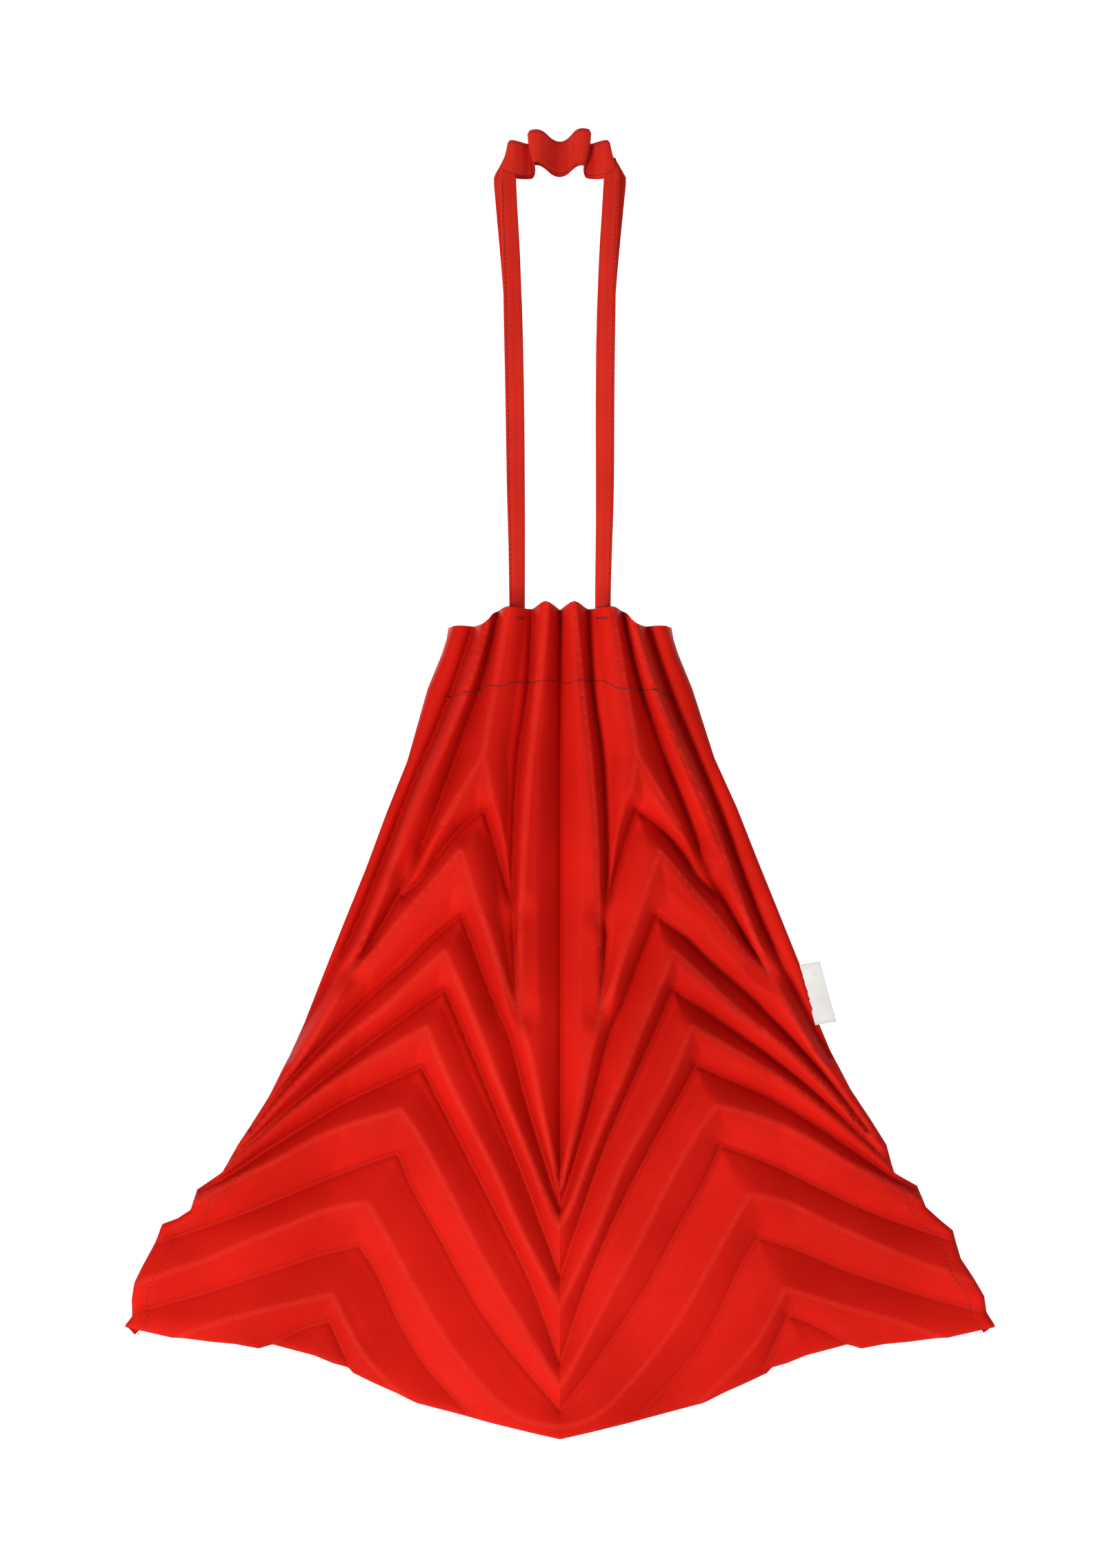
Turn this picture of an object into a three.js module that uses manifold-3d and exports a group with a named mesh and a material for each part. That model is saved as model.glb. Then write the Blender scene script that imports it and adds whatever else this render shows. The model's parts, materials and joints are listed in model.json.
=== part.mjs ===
// Foldable pleated tote bag.
//
// Frame: millimetres, +Z up, the front faces -Y, +X is to the right seen from the front.
// The origin is the point the bag hangs from, under the crimped tops of its two handles.
//
// The cloth is one heat-set pleat pattern. Every crease is an M: it starts on the centre line, climbs to
// an apex, and falls to the side edge. Ridges stand towards the front and valleys towards the back.
// Front and back walls are parallel copies of the pattern, a gap apart.

import * as THREE from 'three';
import Module from 'manifold-3d';

const wasm = await Module();
wasm.setup();

// ---------------------------------------------------------------- driving dimensions

const MOUTH_Z = -270;         // mouth edge at the centre, below the hanging point
const HEM_DEPTH = 48;         // turned-in hem round the mouth
const CLOTH = 1.2;            // wall thickness, cloth with its pile of creases
const FACING = 0.9;           // hem facing thickness
const THREAD = 0.6;           // thread rows stand this thick
const CLEAR = 0.35;           // gap between pieces that lie on each other
const SPLIT = 0.4;            // half of the gap between a wall's centre and its wings

const EDGE_GAP = 3;           // front to back wall, middle to middle, at seams and bottom fold
const BELLY_GAP = 32;         // extra distance between the walls at the middle of the mouth
const MOUTH_RELIEF = 6.5;     // pleat height above and below the wall's middle, at the mouth
const HEM_RELIEF = 4.2;       // the same at the bottom edge
const CLOSED_OUT = 1.15;      // the walls meet this far out, as a share of the wings' fold line
const CLOSING = [250, 490];   // the walls come together between these depths below the mouth
const EDGE_HEIGHT = 0.6;      // height of the side edge, as a share of the pleat height

const CORNER_DROP = 10;       // the mouth's edge sits this much lower at its corners
const CORNER_RUN = [32, 48];  // it drops between these places
const DROP_DEPTH = 12;        // and the cloth below this depth is not moved by it

const SAMPLE = 22;            // longest step along a crease

const STRAP_WIDTH = 10.5;     // strap folded lengthwise
const STRAP_THICK = 2.0;
const BAND_THICK = 1.4;       // the same strap where it is open
const HANDLE_SPACING = 7;     // front to rear handle, at the top
const REAR_SPREAD = 3;        // the rear handle's top stands this much wider
const STITCH_EDGE = 4.2;      // edge stitches, from the middle of a folded strap
const LEG_INSET = 2.5;        // a leg enters the mouth this far inside its wall
const STRAP_END = [2, 30];    // a strap's end is sewn in between these depths below the mouth
const TACK = [4, 5.5];        // a bar tack lies between these depths
const TACK_WIDTH = 7;
const FACING_TOP = 1;         // the hem facing starts this far below the mouth
const FACING_INSET = 1.5;     // and ends this far from the wings' fold line
const HEM_STITCH = [46, 47];  // the hem's stitch row lies between these depths

const LABEL_WIDTH = 13;
const LABEL_LENGTH = 38;
const LABEL_THICK = 0.8;
const LABEL_DOWN = 216;       // label's top corner, below the mouth

const LABEL_OUT = 143.8;      // just outside the side edge
const LABEL_TILT = -0.4;      // lies along the side edge

const SEAM_INSET = 10;        // seam stitches, from the side edge
const SEAM_ROW = 1;           // width of their row
const SEAM_EDGE = 1;          // the allowance starts this far inside the side edge
const ALLOWANCE = 8;          // seam allowance width

// Places on the left half of the wall are [out from the centre line, down from the mouth].

const MOUTH_CORNER = [67, 10];
const BOTTOM_TIP = [0, 505];
const BASE_CORNER = [265, 436];
const WING_LINE = [[67, 4], [139, 462]];     // the line the side areas fold along

// The creases that start at the centre line, from the bottom up. "inner" is a place on the way from the
// centre line up to the apex, and "outer" is one on the way down to the side.
const CHEVRONS = [
  { ridge: true, centre: [0, 374], inner: [38, 284], apex: [70, 207], outer: [131, 261], side: [193, 325] },
  { ridge: false, centre: [0, 405], inner: [46, 286], apex: [70, 231], outer: [139, 282], side: [199, 335] },
  { ridge: true, centre: [0, 424], inner: [44, 332], apex: [81, 253], outer: [142, 290], side: [205, 341] },
  { ridge: false, centre: [0, 458], inner: [44, 358], apex: [84, 278], outer: [147, 309], side: [215, 352] },
  { ridge: true, centre: [0, 473], inner: [55, 377], apex: [96, 303], outer: [158, 327], side: [222, 360] },
  { ridge: false, centre: [0, 487], inner: [63, 402], apex: [99, 330], outer: [170, 358], side: [246, 385] },
  { ridge: true, centre: [0, 497], inner: [67, 446], apex: [117, 360], outer: [188, 383], side: [258, 410] },
];

// The lowest creases run out over the bottom edge instead of reaching the centre line or the side.
const LOW_VALLEY = { inner: [89, 450], apex: [122, 387], outer: [190, 408], side: [260, 427] };
const LOW_RIDGE = { inner: [114, 458], apex: [138, 416], outer: [190, 429] };
const LAST_VALLEY = { apex: [140, 433] };

const BOTTOM_EXITS = {
  valley: [51, 493],
  ridge: [89, 482],
  last: [127, 464],
  lastOut: [176, 447],
  ridgeOut: [231, 442],
};

// The creases that run up into the mouth.
const CENTRE_VALLEY = [[0, 0], [0, 175], [0, 349]];
const INNER_RIDGE_TAIL = [[0, 349], [13, 297], [25, 243]];
const INNER_RIDGE = [[25, 243], [22, 150], [8, 0]];
const INNER_VALLEY_TAIL = [[25, 243], [27, 214], [28, 183]];
const INNER_VALLEY_NECK = [[28, 183], [28.6, 168]];
const INNER_VALLEY = [[28.6, 168], [25, 90], [17, 0]];
const STEM_RIDGE = [[46, 89], [40, 50], [31, 0]];
const FIRST_RIDGE_IN = [[46, 89], [37, 130], [28.6, 168]];
const FIRST_RIDGE_OUT = [[46, 89], [66, 122], [90, 158]];
const FIRST_VALLEY_IN = [[46, 122], [37, 154], [28, 183]];
const FIRST_VALLEY_OUT = [[46, 122], [70, 146], [96, 174]];
const SECOND_RIDGE_IN = [[60, 147], [43, 198], [25, 243]];
const SECOND_RIDGE_OUT = [[60, 147], [97, 189], [128, 221]];
const SECOND_VALLEY_IN = [[60, 186], [36, 247], [0, 364]];
const SECOND_VALLEY_OUT = [[60, 186], [122, 243], [189, 318]];
const OUTER_VALLEY = [[90, 158], [62, 88], [38, 1]];
const OUTER_VALLEY_NECK = [[96, 174], [90, 158]];
const OUTER_VALLEY_TAIL = [[128, 221], [112, 197], [96, 174]];
const OUTER_RIDGE = [[128, 221], [85, 112], [42, 3]];
const OUTER_RIDGE_TAIL = [[186, 311], [157, 269], [128, 221]];
const SIDE_RUN = [[186, 311], [178, 295], [168, 276]];
const SIDE_VALLEY = [[168, 276], [116, 188], [52, 8]];
const SIDE_EDGE = [[168, 276], [128, 182], [95, 98], [67, 10]];

// The crimped top of a handle, left half: [out, how far forward, lower edge, upper edge].
const CRIMPS = [
  [0, -3, -4, 16.5],
  [14, 3, 2, 23.5],
  [19, -3, -5, 15],
  [28, 3, -1.5, 16.5],
  [34, 1, -1, 8],
];
// A handle's leg: [out, height]. It bows out a little below the top.
const LEG = [[26, MOUTH_Z + 1.5], [27, -190], [28.5, -110], [30, -40], [31, 2]];

const COLOURS = { cloth: 0xd0160f, inside: 0xa50d08, thread: 0x8c0a06, strap: 0xd6281c, label: 0xe9e7e2 };

// ---------------------------------------------------------------- the crease pattern

const clamp = (value, low, high) => Math.min(high, Math.max(low, value));
const smooth = (value) => value * value * (3 - 2 * value);
const mix = (a, b, t) => a + (b - a) * t;

// A smooth curve through three places, or a straight one between two, in steps no longer than SAMPLE.
function crease(places, height) {
  const points = places.map(([out, down]) => new THREE.Vector2(out, down));
  const curve = new THREE.SplineCurve(points);
  const count = Math.max(1, Math.ceil(curve.getLength() / SAMPLE));
  return curve.getPoints(count).map((p, i) => ({ out: p.x, down: p.y, height: height(i / count) }));
}

const ridge = (places) => crease(places, () => 1);
const valley = (places) => crease(places, () => -1);
// A ridge that sinks into a valley at its end, and a valley that climbs onto a ridge at its start.
const sinkingRidge = (places) => crease(places, (t) => 1 - 2 * smooth(t));
const risingEnd = (line, height) => [{ ...line[0], height }, ...line.slice(1)];
const join = (...lines) => lines.reduce((a, b) => [...a, ...b.slice(1)]);
const back = (line) => [...line].reverse();

function chevronLines({ ridge: isRidge, centre, inner, apex, outer, side }) {
  const line = isRidge ? ridge : valley;
  return { inner: line([apex, inner, centre]), outer: line([apex, outer, side]) };
}

// The bottom edge between two places on it: nearly straight, and flat.
const hemRun = (from, to) => crease([from, to], () => 0);

// Strips of cloth between neighbouring creases. Both lines of a strip run the same way.
function leftStrips() {
  const centreValley = back(valley(CENTRE_VALLEY));
  centreValley[0].height = 1;
  const innerRidge = join(ridge(INNER_RIDGE_TAIL), ridge(INNER_RIDGE));
  const valleyTail = risingEnd(valley(INNER_VALLEY_TAIL), 1);
  const innerValleyLow = join(valleyTail, valley(INNER_VALLEY_NECK));
  const innerValleyHigh = valley(INNER_VALLEY);
  const stem = ridge(STEM_RIDGE);
  const firstRidgeIn = sinkingRidge(FIRST_RIDGE_IN);
  const firstRidgeOut = sinkingRidge(FIRST_RIDGE_OUT);
  const firstValleyIn = valley(FIRST_VALLEY_IN);
  const firstValleyOut = valley(FIRST_VALLEY_OUT);
  const secondRidgeIn = ridge(SECOND_RIDGE_IN);
  const secondRidgeOut = ridge(SECOND_RIDGE_OUT);
  const secondValleyIn = valley(SECOND_VALLEY_IN);
  const secondValleyOut = valley(SECOND_VALLEY_OUT);
  const outerTail = risingEnd(valley(OUTER_VALLEY_TAIL), 1);
  const outerValleyLow = join(outerTail, valley(OUTER_VALLEY_NECK));
  const outerValleyHigh = valley(OUTER_VALLEY);
  const outerRidge = join(ridge(OUTER_RIDGE_TAIL), ridge(OUTER_RIDGE));
  const sideValley = valley(SIDE_VALLEY);
  const sideRun = crease(SIDE_RUN, () => 0);
  const sideEdge = crease(SIDE_EDGE, () => EDGE_HEIGHT);

  const strips = [
    [centreValley, innerRidge],
    [ridge(INNER_RIDGE), join(innerValleyLow, innerValleyHigh)],
    [innerValleyHigh, join(back(firstRidgeIn), stem)],
    [join(firstRidgeIn, back(valley(INNER_VALLEY_NECK))), firstValleyIn],
    [join(firstValleyIn, back(valleyTail)), secondRidgeIn],
    [join(secondRidgeIn, back(ridge(INNER_RIDGE_TAIL))), secondValleyIn],
    [outerValleyHigh, join(back(firstRidgeOut), stem)],
    [join(firstRidgeOut, back(valley(OUTER_VALLEY_NECK))), firstValleyOut],
    [join(firstValleyOut, back(outerTail)), secondRidgeOut],
    [ridge(OUTER_RIDGE), join(outerValleyLow, outerValleyHigh)],
    [outerRidge, join(sideRun, sideValley)],
    [sideValley, sideEdge],
    [join(secondRidgeOut, back(ridge(OUTER_RIDGE_TAIL))), secondValleyOut],
  ];

  const lines = CHEVRONS.map(chevronLines);
  strips.push([secondValleyIn, lines[0].inner], [secondValleyOut, lines[0].outer]);
  for (let i = 1; i < lines.length; i += 1) {
    strips.push([lines[i - 1].inner, lines[i].inner], [lines[i - 1].outer, lines[i].outer]);
  }

  const last = lines[lines.length - 1];
  const lowIn = valley([LOW_VALLEY.apex, LOW_VALLEY.inner, BOTTOM_EXITS.valley]);
  const lowOut = valley([LOW_VALLEY.apex, LOW_VALLEY.outer, LOW_VALLEY.side]);
  const ridgeIn = ridge([LOW_RIDGE.apex, LOW_RIDGE.inner, BOTTOM_EXITS.ridge]);
  const ridgeOut = ridge([LOW_RIDGE.apex, LOW_RIDGE.outer, BOTTOM_EXITS.ridgeOut]);
  const lastIn = valley([LAST_VALLEY.apex, BOTTOM_EXITS.last]);
  const lastOut = valley([LAST_VALLEY.apex, BOTTOM_EXITS.lastOut]);
  strips.push(
    [last.inner, join(lowIn, hemRun(BOTTOM_EXITS.valley, BOTTOM_TIP))],
    [last.outer, lowOut],
    [lowIn, ridgeIn],
    [lowOut, join(ridgeOut, hemRun(BOTTOM_EXITS.ridgeOut, BASE_CORNER))],
    [ridgeIn, lastIn],
    [ridgeOut, lastOut],
    [lastIn, lastOut],
  );
  return strips;
}

// Triangles between two lines, taken in turn by how far along each one is.
function zip(a, b) {
  const along = (line) => {
    const steps = [0];
    for (let i = 1; i < line.length; i += 1) {
      steps.push(steps[i - 1] + Math.hypot(line[i].out - line[i - 1].out, line[i].down - line[i - 1].down));
    }
    return steps.map((s) => s / steps[steps.length - 1]);
  };
  const [ta, tb] = [along(a), along(b)];
  const triangles = [];
  let [i, j] = [0, 0];
  while (i < a.length - 1 || j < b.length - 1) {
    const stepA = j === b.length - 1 || (i < a.length - 1 && ta[i + 1] <= tb[j + 1]);
    triangles.push(stepA ? [a[i], b[j], a[i + 1]] : [a[i], b[j], b[j + 1]]);
    if (stepA) i += 1;
    else j += 1;
  }
  return triangles;
}

// ---------------------------------------------------------------- the cloth surface

// The mouth's edge drops towards its corners.
const mouthDrop = (out, down) => {
  const [from, to] = CORNER_RUN;
  const corner = CORNER_DROP * smooth(clamp((out - from) / (to - from), 0, 1));
  return down < DROP_DEPTH ? Math.max(down, corner) : down;
};

const wingLineOut = (down) => {
  const [[x0, d0], [x1, d1]] = WING_LINE;
  return mix(x0, x1, (down - d0) / (d1 - d0));
};

// Distance between the two walls: open at the mouth, closed at the seams and at the bottom fold.
function wallGap(out, down) {
  const [from, to] = CLOSING;
  const across = 1 - (out / (CLOSED_OUT * wingLineOut(down))) ** 2;
  const closing = 1 - smooth(clamp((down - from) / (to - from), 0, 1));
  return EDGE_GAP + BELLY_GAP * clamp(across, 0, 1) * closing;
}

const relief = (down) => mix(MOUTH_RELIEF, HEM_RELIEF, clamp(down / BOTTOM_TIP[1], 0, 1));

// One wall of the whole bag, its vertices merged: side -1 is the front wall, 1 the back, 0 midway.
function wallSurface(side) {
  const vertices = [];
  const index = new Map();
  const vertexOf = (sign, { out, down, height }) => {
    const x = sign * out;
    const key = `${x.toFixed(3)},${down.toFixed(3)}`;
    if (!index.has(key)) {
      const y = (side * wallGap(out, down)) / 2 - height * relief(down);
      index.set(key, vertices.length);
      vertices.push([x === 0 ? 0 : x, y, MOUTH_Z - mouthDrop(out, down)]);
    }
    return index.get(key);
  };
  const faces = [];
  const strips = leftStrips();
  for (const sign of [-1, 1]) {
    for (const [a, b] of strips) {
      for (const triangle of zip(a, b)) {
        const face = triangle.map((point) => vertexOf(sign, point));
        if (new Set(face).size === 3) faces.push(facingFront(face, vertices));
      }
    }
  }
  return { vertices, faces };
}

// Turns a face so that its normal points to -Y.
function facingFront(face, vertices) {
  const [a, b, c] = face.map((i) => vertices[i]);
  const area = (b[0] - a[0]) * (c[2] - a[2]) - (c[0] - a[0]) * (b[2] - a[2]);
  return area > 0 ? face : [face[0], face[2], face[1]];
}

function solidFrom(positions, triangles) {
  return new wasm.Manifold(new wasm.Mesh({
    numProp: 3,
    vertProperties: new Float32Array(positions),
    triVerts: new Uint32Array(triangles),
  }));
}

// A closed solid: the wall given a thickness, with its middle moved in y.
function thicken({ vertices, faces }, thickness, shift) {
  const count = vertices.length;
  const half = thickness / 2;
  const positions = [];
  for (const offset of [shift - half, shift + half]) {
    for (const [x, y, z] of vertices) positions.push(x, y + offset, z);
  }
  const used = new Map();
  const triangles = [];
  for (const [a, b, c] of faces) {
    triangles.push(a, b, c, a + count, c + count, b + count);
    for (const [p, q] of [[a, b], [b, c], [c, a]]) used.set(`${p},${q}`, [p, q]);
  }
  for (const [p, q] of used.values()) {
    if (used.has(`${q},${p}`)) continue;
    triangles.push(p, p + count, q, q, p + count, q + count);
  }
  return solidFrom(positions, triangles);
}

// ---------------------------------------------------------------- solids and meshes

const toWorld = (sign) => ([out, down]) => [sign * out, MOUTH_Z - down];

const FAR = 60;      // a cutting outline runs this far past the cloth

// A tall block over an outline in the x-z plane, used to cut a piece out of a wall.
function block(outline) {
  const shape = new THREE.Shape(outline.map(([x, z]) => new THREE.Vector2(x, z)));
  const solid = new THREE.ExtrudeGeometry(shape, { depth: 2 * FAR, bevelEnabled: false });
  solid.translate(0, 0, -FAR);
  solid.rotateX(Math.PI / 2);
  return fromGeometry(solid);
}

function fromGeometry(geometry) {
  const source = geometry.index ? geometry.toNonIndexed() : geometry;
  const position = source.attributes.position;
  const index = new Map();
  const points = [];
  const triangles = [];
  for (let i = 0; i < position.count; i += 1) {
    const key = [position.getX(i), position.getY(i), position.getZ(i)].map((v) => v.toFixed(4)).join();
    if (!index.has(key)) {
      index.set(key, points.length / 3);
      points.push(position.getX(i), position.getY(i), position.getZ(i));
    }
    triangles.push(index.get(key));
  }
  return solidFrom(points, triangles);
}

function toMesh(name, solid, colour) {
  const { vertProperties, triVerts, numProp } = solid.getMesh();
  const positions = [];
  for (let i = 0; i < vertProperties.length; i += numProp) {
    positions.push(vertProperties[i], vertProperties[i + 1], vertProperties[i + 2]);
  }
  const geometry = new THREE.BufferGeometry();
  geometry.setAttribute('position', new THREE.Float32BufferAttribute(positions, 3));
  geometry.setIndex(Array.from(triVerts));
  geometry.computeVertexNormals();
  const material = new THREE.MeshStandardMaterial({ color: colour, roughness: 0.75, metalness: 0 });
  const mesh = new THREE.Mesh(geometry, material);
  mesh.name = name;
  return mesh;
}

// ---------------------------------------------------------------- outlines of the pieces

const centreOutline = () => {
  const [top, bottom] = WING_LINE;
  const side = [
    [top[0] - SPLIT, top[1] - FAR],
    [top[0] - SPLIT, top[1]],
    [bottom[0] - SPLIT, bottom[1]],
    [bottom[0] - SPLIT, bottom[1] + FAR],
  ];
  return [...side.map(toWorld(-1)), ...back(side).map(toWorld(1))];
};

const wingOutline = (sign) => {
  const [top, bottom] = WING_LINE;
  return [
    [top[0] + SPLIT, top[1] - FAR],
    [top[0] + SPLIT, top[1]],
    [bottom[0] + SPLIT, bottom[1]],
    [bottom[0] + SPLIT, bottom[1] + FAR],
    [BASE_CORNER[0] + FAR, bottom[1] + FAR],
    [BASE_CORNER[0] + FAR, top[1] - FAR],
  ].map(toWorld(sign));
};

// A band across the centre part of a wall, between two depths below the mouth.
function bandOutline(from, to) {
  const half = (down) => wingLineOut(down) - FACING_INSET;
  return [[half(from), from], [half(to), to]].map(toWorld(-1))
    .concat([[half(to), to], [half(from), from]].map(toWorld(1)));
}

const plateOutline = (sign, outFrom, outTo, from, to) => (
  [[outFrom, from], [outTo, from], [outTo, to], [outFrom, to]].map(toWorld(sign)));

// The side edge, as places from the mouth's corner to the base corner, moved inwards.
function sideLine(inset) {
  const sides = CHEVRONS.map(({ side }) => side);
  const places = [...back(SIDE_EDGE), ...back(SIDE_RUN).slice(1), ...sides, LOW_VALLEY.side];
  return places.map(([out, down], i) => {
    const before = places[Math.max(0, i - 1)];
    const after = places[Math.min(places.length - 1, i + 1)];
    const run = new THREE.Vector2(after[0] - before[0], after[1] - before[1]).normalize();
    return [out - run.y * inset, down + run.x * inset];
  });
}

const seamOutline = (sign, near, far) => (
  [...sideLine(near).slice(1), ...back(sideLine(far).slice(1))].map(toWorld(sign)));

// ---------------------------------------------------------------- straps

// Four-cornered sections. The crimped band stands on edge; a leg and a thread row are cut level.
const bandSection = ({ x, y, low, high }) => {
  const half = BAND_THICK / 2;
  return [[x, y - half, low], [x, y + half, low], [x, y + half, high], [x, y - half, high]];
};
const levelSection = (width, thick) => ({ x, y, z }) => {
  const [w, t] = [width / 2, thick / 2];
  return [[x - w, y - t, z], [x + w, y - t, z], [x + w, y + t, z], [x - w, y + t, z]];
};
const legSection = levelSection(STRAP_WIDTH, STRAP_THICK);
const threadSection = levelSection(THREAD, THREAD);

// One closed bar through the sections of a row of stations.
function barSolid(stations, section) {
  const triangles = [];
  for (let s = 0; s < stations.length - 1; s += 1) {
    for (let k = 0; k < 4; k += 1) {
      const [a, b] = [4 * s + k, 4 * s + ((k + 1) % 4)];
      triangles.push(a, b, a + 4, b, b + 4, a + 4);
    }
  }
  const last = 4 * (stations.length - 1);
  triangles.push(0, 2, 1, 0, 3, 2, last, last + 1, last + 2, last, last + 2, last + 3);
  return solidFrom(stations.flatMap(section).flat(), triangles);
}

// A leg's stations. Both handles lean in, from their walls at the mouth to each other at the top.
function legStations(side, sign, spread) {
  const atMouth = wallGap(LEG[0][0], 0) / 2 - LEG_INSET;
  return LEG.map(([out, z]) => ({
    x: sign * (out + spread * clamp(1 - z / MOUTH_Z, 0, 1)),
    y: side * mix(HANDLE_SPACING / 2, atMouth, z / MOUTH_Z),
    z,
  }));
}

function handleSolid(side, spread) {
  const ends = CRIMPS[CRIMPS.length - 1][0];
  const left = CRIMPS.map(([out, forward, low, high]) => ({
    x: -out - (spread * out) / ends,
    y: (side * HANDLE_SPACING) / 2 - forward,
    low,
    high,
  }));
  const right = left.slice(1).map((station) => ({ ...station, x: -station.x }));
  const band = barSolid([...back(left), ...right], bandSection);
  const legs = [-1, 1].map((sign) => barSolid(legStations(side, sign, spread), legSection));
  return legs.reduce((solid, leg) => solid.add(leg), band);
}

// The row of stitches along a leg's outer edge, on its outer face.
function stitchSolid(side, sign, spread) {
  const stations = legStations(side, sign, spread).slice(0, -1).map(({ x, y, z }) => ({
    x: x + sign * STITCH_EDGE,
    y: y + side * (STRAP_THICK / 2 + CLEAR + THREAD / 2),
    z,
  }));
  return barSolid(stations, threadSection);
}

// ---------------------------------------------------------------- the bag

const WALLS = { front: -1, back: 1 };
const surfaces = { front: wallSurface(-1), back: wallSurface(1), middle: wallSurface(0) };

// A layer of one wall: "depth" is how far its middle lies inside the bag from the wall's own middle.
function layer(wall, thickness, depth) {
  return thicken(surfaces[wall], thickness, -WALLS[wall] * depth);
}

function cutPiece(name, solid, outline, colour) {
  return toMesh(name, solid.intersect(block(outline)), colour);
}

const bag = new THREE.Group();
bag.name = 'bag';

const INNER_FACING = CLOTH / 2 + CLEAR + FACING / 2;
const INNER_STRAP = INNER_FACING + FACING / 2 + CLEAR + STRAP_THICK / 2;
const OUTER_THREAD = -(CLOTH / 2 + CLEAR + THREAD / 2);

for (const wall of Object.keys(WALLS)) {
  const cloth = layer(wall, CLOTH, 0);
  const thread = layer(wall, THREAD, OUTER_THREAD);
  bag.add(cutPiece(`${wall}_panel`, cloth, centreOutline(), COLOURS.cloth));
  bag.add(cutPiece(`left_${wall}_wing`, cloth, wingOutline(-1), COLOURS.cloth));
  bag.add(cutPiece(`right_${wall}_wing`, cloth, wingOutline(1), COLOURS.cloth));
  const facing = layer(wall, FACING, INNER_FACING);
  bag.add(cutPiece(`${wall}_facing`, facing, bandOutline(FACING_TOP, HEM_DEPTH), COLOURS.inside));
  bag.add(cutPiece(`${wall}_hem_stitch`, thread, bandOutline(...HEM_STITCH), COLOURS.thread));
  const strapEnd = layer(wall, STRAP_THICK, INNER_STRAP);
  const reach = STRAP_WIDTH / 2;
  for (const [hand, sign] of [['left', -1], ['right', 1]]) {
    const end = plateOutline(sign, LEG[0][0] - reach, LEG[0][0] + reach, ...STRAP_END);
    bag.add(cutPiece(`${wall}_strap_end_${hand}`, strapEnd, end, COLOURS.strap));
    const tack = plateOutline(sign, LEG[0][0] - TACK_WIDTH / 2, LEG[0][0] + TACK_WIDTH / 2, ...TACK);
    bag.add(cutPiece(`${wall}_bar_tack_${hand}`, thread, tack, COLOURS.thread));
  }
}

const seamCloth = thicken(surfaces.middle, FACING, 0);
for (const [hand, sign] of [['left', -1], ['right', 1]]) {
  const allowance = seamOutline(sign, SEAM_EDGE, ALLOWANCE);
  bag.add(cutPiece(`${hand}_seam_allowance`, seamCloth, allowance, COLOURS.inside));
  const thread = layer('front', THREAD, OUTER_THREAD);
  const line = seamOutline(sign, SEAM_INSET, SEAM_INSET + SEAM_ROW);
  bag.add(cutPiece(`${hand}_seam_stitch`, thread, line, COLOURS.thread));
}

const HANDLES = [
  { name: 'front_handle', side: -1, spread: 0 },
  { name: 'rear_handle', side: 1, spread: REAR_SPREAD },
];
for (const { name, side, spread } of HANDLES) {
  bag.add(toMesh(name, handleSolid(side, spread), COLOURS.strap));
  for (const [hand, sign] of [['left', -1], ['right', 1]]) {
    bag.add(toMesh(`${name}_stitch_${hand}`, stitchSolid(side, sign, spread), COLOURS.thread));
  }
}

function labelMesh() {
  const geometry = new THREE.BoxGeometry(LABEL_WIDTH, LABEL_THICK, LABEL_LENGTH);
  geometry.translate(LABEL_WIDTH / 2, 0, -LABEL_LENGTH / 2);
  const material = new THREE.MeshStandardMaterial({ color: COLOURS.label, roughness: 0.6 });
  const mesh = new THREE.Mesh(geometry, material);
  mesh.name = 'side_label';
  mesh.position.set(LABEL_OUT, 0, MOUTH_Z - LABEL_DOWN);
  mesh.rotation.y = LABEL_TILT;
  return mesh;
}
bag.add(labelMesh());

export default bag;
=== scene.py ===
import json
import math

import bpy
import numpy as np
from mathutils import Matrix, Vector
from mathutils.geometry import delaunay_2d_cdt

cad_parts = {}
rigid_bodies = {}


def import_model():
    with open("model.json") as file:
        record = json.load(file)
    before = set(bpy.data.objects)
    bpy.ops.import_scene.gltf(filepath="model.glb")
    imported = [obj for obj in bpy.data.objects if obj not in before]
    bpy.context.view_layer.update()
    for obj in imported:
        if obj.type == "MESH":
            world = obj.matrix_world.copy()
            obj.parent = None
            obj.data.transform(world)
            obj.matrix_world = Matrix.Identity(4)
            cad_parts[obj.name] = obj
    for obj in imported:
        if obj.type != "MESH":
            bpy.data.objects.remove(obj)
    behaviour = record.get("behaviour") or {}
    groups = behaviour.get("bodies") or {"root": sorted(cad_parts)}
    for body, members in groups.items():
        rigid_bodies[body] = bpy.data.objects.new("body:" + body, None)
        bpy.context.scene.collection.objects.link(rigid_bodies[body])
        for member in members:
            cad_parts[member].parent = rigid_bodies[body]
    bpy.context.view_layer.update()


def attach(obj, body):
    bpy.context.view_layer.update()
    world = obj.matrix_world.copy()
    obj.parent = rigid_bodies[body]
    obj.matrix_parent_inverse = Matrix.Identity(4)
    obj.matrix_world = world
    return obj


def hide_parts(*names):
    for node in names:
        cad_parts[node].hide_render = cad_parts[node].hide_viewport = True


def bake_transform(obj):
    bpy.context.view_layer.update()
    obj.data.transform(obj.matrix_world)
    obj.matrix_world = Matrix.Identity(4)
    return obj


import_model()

# ------------------------------------------------------------------ sizes, in millimetres

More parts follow.
